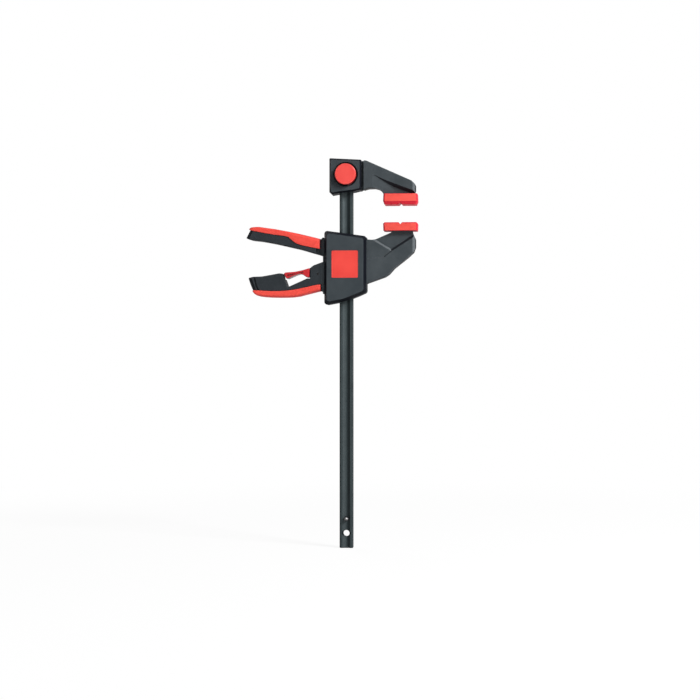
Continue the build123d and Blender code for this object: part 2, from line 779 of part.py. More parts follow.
def make_handle_grip():
    outline = profile(
        (-118.5, -82.0),
        (-120.6, -86.0),
        (-117.6, -91.0, 4.0),
        (-110.0, -93.9, 12.0),
        (-88.0, -94.6, 100.0),
        (-68.0, -94.2, 60.0),
        (-50.0, -90.4, 60.0),
        (-31.9, -86.3, 2.6),
        (-31.9, -76.0),
        (-46.0, -78.0),
        (-62.0, -82.5),
        (-84.5, -84.5))
    grip = rounded(outline, grip_half_width, grip_edge)
    return grip - layer(handle_outline(), 2 * grip_half_width, -2 * grip_half_width)


def make_lever_pin():
    reach = half_arm + cover_rise - cover_wall - 0.5
    pin = cross_rod(lever_pivot_x, -lever_pivot_z, lever_pin_diameter, -reach, reach)
    return chamfer(pin.edges(), 0.4)


def plate_with_rail_hole(length_low, length_high, thickness, hole_half, top):
    """Flat steel plate round the rail, with its top face at this height."""
    blank = block(length_low, length_high, -plate_half_width, plate_half_width, top - thickness, top)
    blank = fillet(blank.edges().filter_by(Axis.Z), plate_corner)
    half_y = rail_thickness / 2 + rail_running_gap
    return blank - block(-hole_half, hole_half, -half_y, half_y, top - 2 * thickness, top + thickness)


def make_drive_plates():
    hole_half = rail_width / 2 + rail_running_gap
    step = drive_plate_thickness + drive_plate_spacing
    plate = plate_with_rail_hole(-plate_half_length, plate_half_length, drive_plate_thickness, hole_half,
                                 -drive_top)
    return together(Pos(0, 0, -number * step) * plate for number in range(drive_plate_count))


def drive_stack_foot():
    gaps = (drive_plate_count - 1) * drive_plate_spacing
    return drive_top + drive_plate_count * drive_plate_thickness + gaps


def make_drive_spring():
    length = shelf_top - drive_stack_foot() - 2 * seat_gap
    return Pos(0, 0, -shelf_top + seat_gap) * coil(coil_radius, coil_wire, length, drive_spring_pitch)


def make_brake_plate():
    lean = radians(brake_tilt)
    hole_half = (rail_width / 2 + brake_thickness / 2 * sin(lean)) / cos(lean) + rail_running_gap
    plate = plate_with_rail_hole(-plate_half_length, brake_end_x, brake_thickness, hole_half, -brake_hinge_z)
    hinge = Pos(brake_hinge_x, 0, -brake_hinge_z)
    return hinge * Rot(0, -brake_tilt, 0) * hinge.inverse() * plate


def make_brake_spring():
    reach = brake_hinge_x + coil_radius + coil_wire / 2
    lowest = brake_hinge_z + brake_thickness + reach * tan(radians(brake_tilt))
    length = guide_foot_top - lowest - 2 * seat_gap
    return Pos(0, 0, -guide_foot_top + seat_gap) * coil(coil_radius, coil_wire, length, brake_spring_pitch)


def make_release_lever():
    bar = profile(
        (-79.6, -64.6, 0.6),
        (-77.6, -63.1, 0.8),
        (-65.6, -62.3, 30.0),
        (-55.3, -60.2, 20.0),
        (-46.5, -57.5, 0.4),
        (-46.7, -69.2, 0.8),
        (-50.6, -69.2, 0.8),
        (-56.0, -65.4, 2.0),
        (-59.8, -64.9, 3.0),
        (-66.0, -67.0, 10.0),
        (-75.0, -71.0, 0.8),
        (-76.6, -70.7, 0.6))
    pocket = profile(
        (-75.6, -65.6, 0.4),
        (-66.0, -64.3),
        (-54.4, -62.0, 0.4),
        (-54.4, -64.0, 0.4),
        (-60.4, -63.7),
        (-66.4, -65.7),
        (-74.6, -69.2, 0.4))
    lever = rounded(bar, release_half_width, release_edge)
    lever -= both_sides(layer(pocket, -release_half_width - 1, -release_half_width + release_pocket_depth))
    tip_z = -brake_hinge_z - release_tip_lift + stop_gap
    root = profile(
        (-54.0, -61.4),
        (-44.0, -59.0, 2.0),
        (-release_pin_x, -release_pin_z + release_hub_diameter / 2),
        (-22.0, -65.6, 4.0),
        (-release_tip_x + 1.0, -66.9, 0.5),
        (-release_tip_x + 1.0, tip_z + 0.6, 0.5),
        (-release_tip_x, tip_z, 0.5),
        (-21.0, tip_z + 0.6, 2.0),
        (-release_pin_x, -release_pin_z - release_hub_diameter / 2),
        (-44.0, -68.0, 2.0),
        (-54.0, -65.6))
    lever += layer(root, release_root_half_width, -release_root_half_width)
    lever += cross_rod(-release_pin_x, -release_pin_z, release_hub_diameter,
                       -release_root_half_width, release_root_half_width)
    return lever - cross_rod(-release_pin_x, -release_pin_z, release_pin_diameter + 2 * pin_running_gap,
                             -release_half_width, release_half_width)


def make_release_lever_pin():
    reach = half_arm - release_pin_inset
    return cross_rod(-release_pin_x, -release_pin_z, release_pin_diameter, -reach, reach)


head_place = Pos(-jaw_reach, 0, 0)
slider_place = Pos(-jaw_reach, 0, -stored_opening)

pieces = {
    "rail": head_place * make_rail(),
    "rail_stop_pin": head_place * make_stop_pin(),
    "fixed_jaw": head_place * make_fixed_jaw(),
    "head_front_cover": head_place * make_head_front_cover(),
    "head_rear_cover": head_place * make_head_rear_cover(),
    "head_screws": head_place * make_head_screws(),
    "release_button": head_place * make_button(),
    "lock_pin": head_place * make_lock_pin(),
    "lock_pin_clip": head_place * make_lock_pin_clip(),
    "button_spring": head_place * make_button_spring(),
    "fixed_jaw_pad": head_place * make_pad(fixed_pad_height),
    "moving_jaw_pad": slider_place * flip * make_pad(moving_pad_height),
    "slide_body": slider_place * make_slide_body(),
    "front_cover": slider_place * make_front_cover(),
    "rear_cover": slider_place * make_rear_cover(),
    "cover_screws": slider_place * make_cover_screws(),
    "badge_plate": slider_place * make_badge_plate(),
    "handle_grip": slider_place * make_handle_grip(),
    "pump_lever": slider_place * make_pump_lever(),
    "pump_lever_grip": slider_place * make_lever_grip(),
    "lever_pivot_pin": slider_place * make_lever_pin(),
    "drive_plates": slider_place * make_drive_plates(),
    "drive_spring": slider_place * make_drive_spring(),
    "brake_plate": slider_place * make_brake_plate(),
    "brake_spring": slider_place * make_brake_spring(),
    "release_lever": slider_place * make_release_lever(),
    "release_lever_pin": slider_place * make_release_lever_pin(),
}

os.makedirs("parts", exist_ok=True)
for name, piece in pieces.items():
    export_step(piece, f"parts/{name}.step")
    print(name, len(piece.solids()), round(piece.volume, 1))
print("closing travel", round(stored_opening - closed_gap, 3), "button travel", button_travel)
print("drive travel", round(drive_travel, 3), "brake tilt", round(brake_tilt, 3))
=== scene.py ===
import math

import bmesh
import bpy
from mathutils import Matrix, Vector


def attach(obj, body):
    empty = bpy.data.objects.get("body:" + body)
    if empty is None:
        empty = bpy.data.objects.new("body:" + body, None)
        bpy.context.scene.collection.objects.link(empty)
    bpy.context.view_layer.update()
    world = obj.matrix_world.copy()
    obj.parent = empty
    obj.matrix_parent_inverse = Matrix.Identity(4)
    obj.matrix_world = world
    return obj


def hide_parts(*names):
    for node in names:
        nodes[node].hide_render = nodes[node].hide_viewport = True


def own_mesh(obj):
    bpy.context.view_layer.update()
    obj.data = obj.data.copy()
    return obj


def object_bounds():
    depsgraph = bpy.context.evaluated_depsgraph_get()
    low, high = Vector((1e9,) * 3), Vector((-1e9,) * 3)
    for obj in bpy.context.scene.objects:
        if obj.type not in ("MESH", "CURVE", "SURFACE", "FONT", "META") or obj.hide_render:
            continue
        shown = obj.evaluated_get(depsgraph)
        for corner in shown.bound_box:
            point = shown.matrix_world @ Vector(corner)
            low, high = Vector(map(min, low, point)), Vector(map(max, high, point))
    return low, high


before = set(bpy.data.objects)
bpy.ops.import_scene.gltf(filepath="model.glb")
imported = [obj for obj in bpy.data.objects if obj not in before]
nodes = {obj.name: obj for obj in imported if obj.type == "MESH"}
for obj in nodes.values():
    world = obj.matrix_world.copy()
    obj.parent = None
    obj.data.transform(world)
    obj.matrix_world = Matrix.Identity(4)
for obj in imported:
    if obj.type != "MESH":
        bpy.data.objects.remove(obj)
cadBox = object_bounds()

print("frame loaded:", len(nodes), "nodes")

# Camera, square to the clamp's front but for a few degrees towards the jaws
view = {
    "aim": (-0.06513, 0.0, -0.1848),  # the point in the middle of the view
    "distance": 2.0,
    "turn": 5.0,  # degrees
    "lens": 80.36,
    "clipEnd": 20,
}


def makeCamera():
    data = bpy.data.cameras.new("camera")
    data.lens = view["lens"]
    data.clip_end = view["clipEnd"]
    camera = bpy.data.objects.new("camera", data)
    bpy.context.scene.collection.objects.link(camera)
    turn = math.radians(view["turn"])
    away = Vector((math.sin(turn), -math.cos(turn), 0))
    camera.location = Vector(view["aim"]) + away * view["distance"]
    camera.rotation_euler = (math.radians(90), 0, turn)
    bpy.context.scene.camera = camera


# Studio: the main softbox stands high on the right, with a weak one in front and a fill behind
studio = {
    "floorSize": 16.0,
    "floorColour": (0.86, 0.86, 0.86, 1),
    "floorRoughness": 0.9,
    "seenWhite": 0.90,  # share of plain white seen in the floor beside the clamp
    "whiteFrom": 0.35,  # metres from the rail, from where the floor turns plain white
    "whiteTo": 1.1,
    "worldLight": 0.09,
    "lamps": {  # place, point it is turned to, side of the square, watts
        "highSoftbox": ((1.75, -1.30, 1.35), (-0.07, 0, -0.15), 0.8, 108.0),
        "frontSoftbox": ((-0.25, -2.6, 0.2), (-0.07, 0, -0.15), 1.6, 5.0),
        "rearFill": ((-1.4, 1.9, 0.9), (-0.07, 0, -0.2), 1.6, 26.0),
    },
}


def addSeenShare(tree):  # 1 for the rays of the camera, of reflections and of glass
    path = tree.nodes.new("ShaderNodeLightPath")
    shares = [path.outputs["Is Camera Ray"]]
    for ray in ("Is Glossy Ray", "Is Transmission Ray"):
        larger = tree.nodes.new("ShaderNodeMath")
        larger.operation = "MAXIMUM"
        tree.links.new(shares[-1], larger.inputs[0])
        tree.links.new(path.outputs[ray], larger.inputs[1])
        shares.append(larger.outputs[0])
    return shares[-1]


def addWhiteRing(tree):  # the share of plain white, which rises with the distance from the rail
    away = tree.nodes.new("ShaderNodeVectorMath")
    away.operation = "LENGTH"
    tree.links.new(tree.nodes.new("ShaderNodeTexCoord").outputs["Object"], away.inputs[0])
    ring = tree.nodes.new("ShaderNodeMapRange")
    ring.interpolation_type = "SMOOTHSTEP"
    ring.inputs["From Min"].default_value = studio["whiteFrom"]
    ring.inputs["From Max"].default_value = studio["whiteTo"]
    ring.inputs["To Min"].default_value = studio["seenWhite"]
    tree.links.new(away.outputs["Value"], ring.inputs["Value"])
    return ring.outputs["Result"]


def makeFloor():
    bpy.ops.object.select_all(action="DESELECT")
    bpy.ops.mesh.primitive_plane_add(size=studio["floorSize"], location=(0, 0, cadBox[0][2]))
    floor = bpy.context.object
    floor.name = "floor"
    material = bpy.data.materials.new("studioFloor")
    material.use_nodes = True
    tree = material.node_tree
    shader = tree.nodes["Principled BSDF"]
    shader.inputs["Base Color"].default_value = studio["floorColour"]
    shader.inputs["Roughness"].default_value = studio["floorRoughness"]
    shader.inputs["Specular IOR Level"].default_value = 0.0
    white = tree.nodes.new("ShaderNodeEmission")
    seen = tree.nodes.new("ShaderNodeMath")
    seen.operation = "MULTIPLY"
    tree.links.new(addSeenShare(tree), seen.inputs[0])
    tree.links.new(addWhiteRing(tree), seen.inputs[1])
    mix = tree.nodes.new("ShaderNodeMixShader")
    tree.links.new(seen.outputs[0], mix.inputs[0])
    tree.links.new(shader.outputs[0], mix.inputs[1])
    tree.links.new(white.outputs[0], mix.inputs[2])
    tree.links.new(mix.outputs[0], tree.nodes["Material Output"].inputs["Surface"])
    floor.data.materials.append(material)


def makeLight():
    for name, (place, aim, size, watts) in studio["lamps"].items():
        data = bpy.data.lights.new(name, "AREA")
        data.shape = "SQUARE"
        data.size = size
        data.energy = watts
        lamp = bpy.data.objects.new(name, data)
        lamp.location = place
        lamp.rotation_euler = (Vector(aim) - Vector(place)).to_track_quat("-Z", "Y").to_euler()
        bpy.context.scene.collection.objects.link(lamp)
    world = bpy.data.worlds.new("studioWorld")
    world.use_nodes = True
    bpy.context.scene.world = world
    tree = world.node_tree
    seen = tree.nodes.new("ShaderNodeMath")
    seen.operation = "MULTIPLY_ADD"
    seen.inputs[1].default_value = 1.0 - studio["worldLight"]
    seen.inputs[2].default_value = studio["worldLight"]
    tree.links.new(addSeenShare(tree), seen.inputs[0])
    back = tree.nodes["Background"]
    back.inputs["Color"].default_value = (1, 1, 1, 1)
    tree.links.new(seen.outputs[0], back.inputs["Strength"])


bpy.context.scene.view_settings.view_transform = "Standard"
makeCamera()
makeFloor()
makeLight()
print("camera and studio ready")


# Noise patterns: their detail and roughness, and the range of the noise that becomes 0 to 1
patterns = {
    "mouldGrain": {"detail": 2.0, "roughness": 0.6, "range": (0.35, 0.65)},
    "mouldTone": {"detail": 4.0, "roughness": 0.55, "range": (0.3, 0.7)},
    "wearAndSheenBreakup": {"detail": 3.0, "roughness": 0.5, "range": (0.38, 0.6)},
    "drawnLines": {"detail": 3.0, "roughness": 0.6, "range": (0.3, 0.7)},
    "drawnStreaks": {"detail": 2.0, "roughness": 0.5, "range": (0.3, 0.7)},
    "scalePatches": {"detail": 5.0, "roughness": 0.6, "range": (0.35, 0.7)},
    "smudges": {"detail": 6.0, "roughness": 0.65, "range": (0.42, 0.68)},
}

# Limits of the effects. A pair is where the effect starts and where it is full.
limits = {
    "wornAndSheenEdge": (0.995, 0.9),  # cosine between the bevelled and the true normal
    "lineProfile": (1.0, 0.4),  # distance from the mould's middle, in widths of the line
    "flankTurn": (-0.5, 0.5),  # how far a face is turned past the flank's edge, in softnesses
    "paintedLightWay": (0.97, 0, 0.24),  # slopes that look this way get a painted highlight, those that look back get painted shade
    "bevelSamples": 4,
}


# Effects that several finishes share. Each is a node group with named inputs and outputs.
def newGroup(name, inputs, outputs):
    group = bpy.data.node_groups.new(name, "ShaderNodeTree")
    for label, value in inputs.items():
        socket = group.interface.new_socket(name=label, in_out="INPUT",
                                            socket_type="NodeSocketFloat")
        socket.default_value = value
    for label in outputs:
        group.interface.new_socket(name=label, in_out="OUTPUT", socket_type="NodeSocketFloat")
    return group, group.nodes.new("NodeGroupInput"), group.nodes.new("NodeGroupOutput")


def addCoordinate(tree, kind):  # "Object" for the place on the piece, "Normal" for the way it looks
    return tree.nodes.new("ShaderNodeTexCoord").outputs[kind]


def addApart(tree, vector):
    apart = tree.nodes.new("ShaderNodeSeparateXYZ")
    tree.links.new(vector, apart.inputs[0])
    return apart.outputs


def addMath(tree, operation, first, second):
    node = tree.nodes.new("ShaderNodeMath")
    node.operation = operation
    for socket, value in zip(node.inputs, (first, second)):
        if isinstance(value, (int, float)):
            socket.default_value = value
        else:
            tree.links.new(value, socket)
    return node.outputs[0]


def addRange(tree, value, low, high):
    node = tree.nodes.new("ShaderNodeMapRange")
    for label, limit in (("From Min", low), ("From Max", high)):
        if isinstance(limit, (int, float)):
            node.inputs[label].default_value = limit
        else:
            tree.links.new(limit, node.inputs[label])
    tree.links.new(value, node.inputs["Value"])
    return node.outputs["Result"]


def addPattern(tree, name, place, scale):
    pattern = patterns[name]
    noise = tree.nodes.new("ShaderNodeTexNoise")
    noise.inputs["Detail"].default_value = pattern["detail"]
    noise.inputs["Roughness"].default_value = pattern["roughness"]
    tree.links.new(place, noise.inputs["Vector"])
    tree.links.new(scale, noise.inputs["Scale"])
    return addRange(tree, noise.outputs["Fac"], *pattern["range"])


def mouldGrainGroup():  # the fine spark-eroded skin of a moulding, and its slow change of tone
    given = {"Grain": 2600.0, "Tone": 45.0}
    group, given, result = newGroup("mouldGrain", given, ["Height", "Mottle"])
    place = addCoordinate(group, "Object")
    fine = addPattern(group, "mouldGrain", place, given.outputs["Grain"])
    group.links.new(fine, result.inputs["Height"])
    slow = addPattern(group, "mouldTone", place, given.outputs["Tone"])
    group.links.new(slow, result.inputs["Mottle"])
    return group


def edgeWearAndSheenGroup():  # lighter edges where a bevelled normal departs from the true one, broken up by noise: partly edge wear, partly a painted highlight along the edges
    group, given, result = newGroup("edgeWearAndSheen", {"Reach": 0.0012, "Breakup": 420.0}, ["Mask"])
    bevel = group.nodes.new("ShaderNodeBevel")
    bevel.samples = limits["bevelSamples"]
    group.links.new(given.outputs["Reach"], bevel.inputs["Radius"])
    facing = group.nodes.new("ShaderNodeVectorMath")
    facing.operation = "DOT_PRODUCT"
    group.links.new(bevel.outputs[0], facing.inputs[0])
    geometry = group.nodes.new("ShaderNodeNewGeometry")
    group.links.new(geometry.outputs["Normal"], facing.inputs[1])
    edge = addRange(group, facing.outputs["Value"], *limits["wornAndSheenEdge"])
    place = addCoordinate(group, "Object")
    breakup = addPattern(group, "wearAndSheenBreakup", place, given.outputs["Breakup"])
    group.links.new(addMath(group, "MULTIPLY", edge, breakup), result.inputs["Mask"])
    return group


def drawnSteelGroup():  # long fine lines left by the drawing die, and scale in faint patches
    given = {"Lines": 1500.0, "Stretch": 0.012, "Streaks": 420.0, "Patches": 55.0}
    group, given, result = newGroup("drawnSteel", given, ["Height", "Streak", "Scale Patch"])
    place = addCoordinate(group, "Object")
    apart = addApart(group, place)
    drawn = group.nodes.new("ShaderNodeCombineXYZ")  # the place, stretched along Z
    group.links.new(apart[0], drawn.inputs[0])
    group.links.new(apart[1], drawn.inputs[1])
    along = addMath(group, "MULTIPLY", apart[2], given.outputs["Stretch"])
    group.links.new(along, drawn.inputs[2])
    lines = addPattern(group, "drawnLines", drawn.outputs[0], given.outputs["Lines"])
    group.links.new(lines, result.inputs["Height"])
    streaks = addPattern(group, "drawnStreaks", drawn.outputs[0], given.outputs["Streaks"])
    group.links.new(streaks, result.inputs["Streak"])
    patches = addPattern(group, "scalePatches", place, given.outputs["Patches"])
    group.links.new(patches, result.inputs["Scale Patch"])
    return group


def handlingGroup():  # smudges and rubbed places from use
    group, given, result = newGroup("handling", {"Size": 38.0}, ["Smudge"])
    smear = addPattern(group, "smudges", addCoordinate(group, "Object"), given.outputs["Size"])
    group.links.new(smear, result.inputs["Smudge"])
    return group


def flankShadeGroup():  # painted shade on the flanks of a moulding, whose faces turn away from its broad sides
    group, given, result = newGroup("flank", {"Edge": 0.62, "Softness": 0.14}, ["Mask"])
    facing = addApart(group, addCoordinate(group, "Normal"))
    broad = addMath(group, "ABSOLUTE", facing[1], 0.0)
    turned = addMath(group, "SUBTRACT", given.outputs["Edge"], broad)
    share = addMath(group, "DIVIDE", turned, given.outputs["Softness"])
    group.links.new(addRange(group, share, *limits["flankTurn"]), result.inputs["Mask"])
    return group


def slopeLightAndShadeGroup():  # painted light and shade: slopes that look towards the key light's way are painted lighter, those that look back are painted darker
    given = {"LightFrom": 0.155, "LightTo": 0.28, "DarkFrom": 0.09, "DarkTo": 0.18}
    group, given, result = newGroup("paintedSlopeLight", given, ["Light", "Dark"])
    facing = group.nodes.new("ShaderNodeVectorMath")
    facing.operation = "DOT_PRODUCT"
    facing.inputs[1].default_value = limits["paintedLightWay"]
    group.links.new(addCoordinate(group, "Normal"), facing.inputs[0])
    for label, sign in (("Light", 1), ("Dark", -1)):
        turned = addMath(group, "MULTIPLY", facing.outputs["Value"], sign)
        start, full = given.outputs[label + "From"], given.outputs[label + "To"]
        group.links.new(addRange(group, turned, start, full), result.inputs[label])
    return group


def spanGroup():  # one end of a long piece, along X
    group, given, result = newGroup("span", {"From": -0.1, "To": -0.102}, ["Mask"])
    along = addApart(group, addCoordinate(group, "Object"))[0]
    mask = addRange(group, along, given.outputs["From"], given.outputs["To"])
    group.links.new(mask, result.inputs["Mask"])
    return group


def partingLineGroup():  # the fine raised line where the two halves of a mould met
    group, given, result = newGroup("partingLine", {"Width": 0.0003}, ["Height"])
    across = addApart(group, addCoordinate(group, "Object"))[1]
    away = addMath(group, "ABSOLUTE", across, 0.0)
    widths = addMath(group, "DIVIDE", away, given.outputs["Width"])
    group.links.new(addRange(group, widths, *limits["lineProfile"]), result.inputs["Height"])
    return group


effects = {
    "flank": flankShadeGroup(),
    "paintedSlopeLight": slopeLightAndShadeGroup(),
    "span": spanGroup(),
    "partingLine": partingLineGroup(),
    "mouldGrain": mouldGrainGroup(),
    "edgeWearAndSheen": edgeWearAndSheenGroup(),
    "drawnSteel": drawnSteelGroup(),
    "handling": handlingGroup(),
}


def newMaterial(name):
    material = bpy.data.materials.new(name)
    material.use_nodes = True
    return material, material.node_tree, material.node_tree.nodes["Principled BSDF"]


def addEffect(tree, name, **values):
    node = tree.nodes.new("ShaderNodeGroup")
    node.node_tree = effects[name]
    for label, value in values.items():
        node.inputs[label].default_value = value
    return node.outputs


def addColours(tree, mask, low, high):
    mix = tree.nodes.new("ShaderNodeMix")
    mix.data_type = "RGBA"
    tree.links.new(mask, mix.inputs[0])
    for socket, colour in ((mix.inputs[6], low), (mix.inputs[7], high)):
        if isinstance(colour, tuple):
            socket.default_value = (*colour, 1)
        else:
            tree.links.new(colour, socket)
    return mix.outputs[2]


def addLayer(tree, mask, share, base, colour):  # a colour over the base, where the mask is
    return addColours(tree, addMath(tree, "MULTIPLY", mask, share), base, colour)


def addBetween(tree, mask, low, high):
    node = tree.nodes.new("ShaderNodeMapRange")
    node.inputs["To Min"].default_value = low
    node.inputs["To Max"].default_value = high
    tree.links.new(mask, node.inputs["Value"])
    return node.outputs["Result"]


def addBump(tree, height, distance):
    bump = tree.nodes.new("ShaderNodeBump")
    bump.inputs["Distance"].default_value = distance
    bump.inputs["Strength"].default_value = 1.0
    tree.links.new(height, bump.inputs["Height"])
    return bump.outputs[0]


def mouldedFinish(name, look):
    material, tree, shader = newMaterial(name)
    grain = addEffect(tree, "mouldGrain", Grain=look["grain"])
    wearAndSheen = addEffect(tree, "edgeWearAndSheen", Reach=look["wearAndSheenReach"])
    touch = addEffect(tree, "handling")
    flank = addEffect(tree, "flank", Edge=look["flankEdge"], Softness=look["flankSoftness"])
    paintedSlopeLight = addEffect(tree, "paintedSlopeLight")
    span = addEffect(tree, "span")
    line = addEffect(tree, "partingLine")
    tone = addColours(tree, grain["Mottle"], look["dark"], look["light"])
    clear = addMath(tree, "SUBTRACT", 1.0, span["Mask"])
    # painted highlight on slopes that look towards the key light, kept off the grip end
    lit = addMath(tree, "MULTIPLY", paintedSlopeLight["Light"], clear)
    tone = addLayer(tree, lit, look["highlightShare"], tone, look["wornAndHighlight"])
    # painted shade on slopes that look away from the key light, in the flank's dark colour
    tone = addLayer(tree, paintedSlopeLight["Dark"], look["shadeShare"], tone, look["flank"])
    tone = addLayer(tree, span["Mask"], look["gripShare"], tone, look["flank"])
    # painted shade: flanks turned away from the broad sides are darkened
    tone = addLayer(tree, flank["Mask"], look["flankShare"], tone, look["flank"])
    # lighter edges, partly wear and partly a painted highlight
    tone = addLayer(tree, wearAndSheen["Mask"], look["wearAndSheenShare"], tone, look["wornAndHighlight"])
    tree.links.new(tone, shader.inputs["Base Color"])
    rough = addBetween(tree, touch["Smudge"], *look["rough"])
    tree.links.new(rough, shader.inputs["Roughness"])
    skin = addMath(tree, "MULTIPLY", grain["Height"], look["depth"])
    raised = addMath(tree, "MULTIPLY", line["Height"], look["line"])
    relief = addMath(tree, "ADD", skin, raised)  # in metres already
    tree.links.new(addBump(tree, relief, 1.0), shader.inputs["Normal"])
    shader.inputs["Specular IOR Level"].default_value = look["gloss"]
    return material


# Moulded plastics. Colours are linear, depths in metres, grain in waves to the metre. Each share is
# how far its colour covers the one below, and flankEdge is the cosine at which a flank begins.
# The flank colour is painted shade on flanks and on slopes that look back; the lighter edge colour
# is both wear and painted highlight.
evenMoulding = {"highlightShare": 0.0, "shadeShare": 0.0, "gripShare": 0.0}
mouldings = {
    "blackNylon": {
        "dark": (0.036, 0.044, 0.049), "light": (0.052, 0.061, 0.067),
        "flank": (0.006, 0.007, 0.010), "wornAndHighlight": (0.16, 0.175, 0.185),
        "flankShare": 0.95, "flankEdge": 0.6, "flankSoftness": 0.14,
        "highlightShare": 0.4, "shadeShare": 0.8, "gripShare": 0.55,
        "wearAndSheenShare": 0.4, "wearAndSheenReach": 0.0008,
        "grain": 2400.0, "depth": 0.00005, "line": 0.00008,
        "rough": (0.50, 0.62), "gloss": 0.08,
    },
    "coverNylon": {
        **evenMoulding,
        "dark": (0.035, 0.043, 0.049), "light": (0.047, 0.056, 0.062),
        "flank": (0.005, 0.006, 0.009), "wornAndHighlight": (0.15, 0.165, 0.175),
        "flankShare": 1.0, "flankEdge": 0.88, "flankSoftness": 0.1,
        "wearAndSheenShare": 0.3, "wearAndSheenReach": 0.0006,
        "grain": 2900.0, "depth": 0.00004, "line": 0.0,
        "rough": (0.50, 0.60), "gloss": 0.04,
    },
    "softGripRed": {
        **evenMoulding,
        "dark": (0.66, 0.050, 0.036), "light": (0.75, 0.070, 0.050),
        "flank": (0.52, 0.020, 0.022), "wornAndHighlight": (0.88, 0.20, 0.15),
        "flankShare": 0.8, "flankEdge": 0.55, "flankSoftness": 0.14,
        "wearAndSheenShare": 0.35, "wearAndSheenReach": 0.0010,
        "grain": 3400.0, "depth": 0.00004, "line": 0.00010,
        "rough": (0.55, 0.66), "gloss": 0.25,
    },
    "buttonRed": {
        **evenMoulding,
        "dark": (0.63, 0.041, 0.034), "light": (0.69, 0.062, 0.050),
        "flank": (0.34, 0.006, 0.008), "wornAndHighlight": (0.95, 0.22, 0.19),
        "flankShare": 0.9, "flankEdge": 0.72, "flankSoftness": 0.14,
        "wearAndSheenShare": 0.7, "wearAndSheenReach": 0.0012,
        "grain": 3000.0, "depth": 0.00002, "line": 0.0,
        "rough": (0.34, 0.46), "gloss": 0.4,
    },
    "triggerRed": {
        **evenMoulding,
        "dark": (0.42, 0.006, 0.012), "light": (0.51, 0.012, 0.019),
        "flank": (0.30, 0.005, 0.012), "wornAndHighlight": (0.72, 0.06, 0.07),
        "flankShare": 0.9, "flankEdge": 0.7, "flankSoftness": 0.14,
        "wearAndSheenShare": 0.5, "wearAndSheenReach": 0.0009,
        "grain": 3000.0, "depth": 0.00002, "line": 0.00006,
        "rough": (0.34, 0.46), "gloss": 0.35,
    },
    "inlayRed": {
        **evenMoulding,
        "dark": (0.63, 0.034, 0.026), "light": (0.69, 0.048, 0.035),
        "flank": (0.50, 0.010, 0.014), "wornAndHighlight": (0.92, 0.16, 0.13),
        "flankShare": 0.9, "flankEdge": 0.9, "flankSoftness": 0.1,
        "wearAndSheenShare": 0.3, "wearAndSheenReach": 0.0004,
        "grain": 3600.0, "depth": 0.00001, "line": 0.0,
        "rough": (0.38, 0.48), "gloss": 0.35,
    },
    "padRed": {
        **evenMoulding,
        "dark": (0.65, 0.058, 0.043), "light": (0.73, 0.079, 0.060),
        "flank": (0.54, 0.008, 0.024), "wornAndHighlight": (0.92, 0.24, 0.20),
        "flankShare": 1.0, "flankEdge": 0.955, "flankSoftness": 0.04,
        "wearAndSheenShare": 0.3, "wearAndSheenReach": 0.0008,
        "grain": 2600.0, "depth": 0.00005, "line": 0.0,
        "rough": (0.50, 0.62), "gloss": 0.25,
    },
}


def steelFinish(name, look):
    material, tree, shader = newMaterial(name)
    drawn = addEffect(tree, "drawnSteel", Lines=look["lines"], Stretch=look["stretch"])
    wearAndSheen = addEffect(tree, "edgeWearAndSheen", Reach=look["wearAndSheenReach"])
    flank = addEffect(tree, "flank", Edge=look["flankEdge"])
    start, full = look["slopes"]
    paintedSlopeLight = addEffect(tree, "paintedSlopeLight", LightFrom=start, LightTo=full, DarkFrom=start, DarkTo=full)
    tone = addColours(tree, drawn["Streak"], look["dark"], look["light"])
    # painted highlight and painted shade on the slopes, by the way they look
    tone = addLayer(tree, paintedSlopeLight["Light"], look["highlightShare"], tone, look["wornAndHighlight"])
    tone = addLayer(tree, paintedSlopeLight["Dark"], look["shadeShare"], tone, look["flank"])
    tone = addLayer(tree, drawn["Scale Patch"], look["patchShare"], tone, look["patch"])
    # painted shade on the flanks
    tone = addLayer(tree, flank["Mask"], look["flankShare"], tone, look["flank"])
    # lighter edges, partly wear and partly a painted highlight
    tone = addLayer(tree, wearAndSheen["Mask"], look["wearAndSheenShare"], tone, look["wornAndHighlight"])
    tree.links.new(tone, shader.inputs["Base Color"])
    rough = addBetween(tree, drawn["Scale Patch"], *look["rough"])
    tree.links.new(rough, shader.inputs["Roughness"])
    tree.links.new(addBump(tree, drawn["Height"], look["depth"]), shader.inputs["Normal"])
    shader.inputs["Metallic"].default_value = look["metal"]
    shader.inputs["Specular IOR Level"].default_value = look["gloss"]
    return material


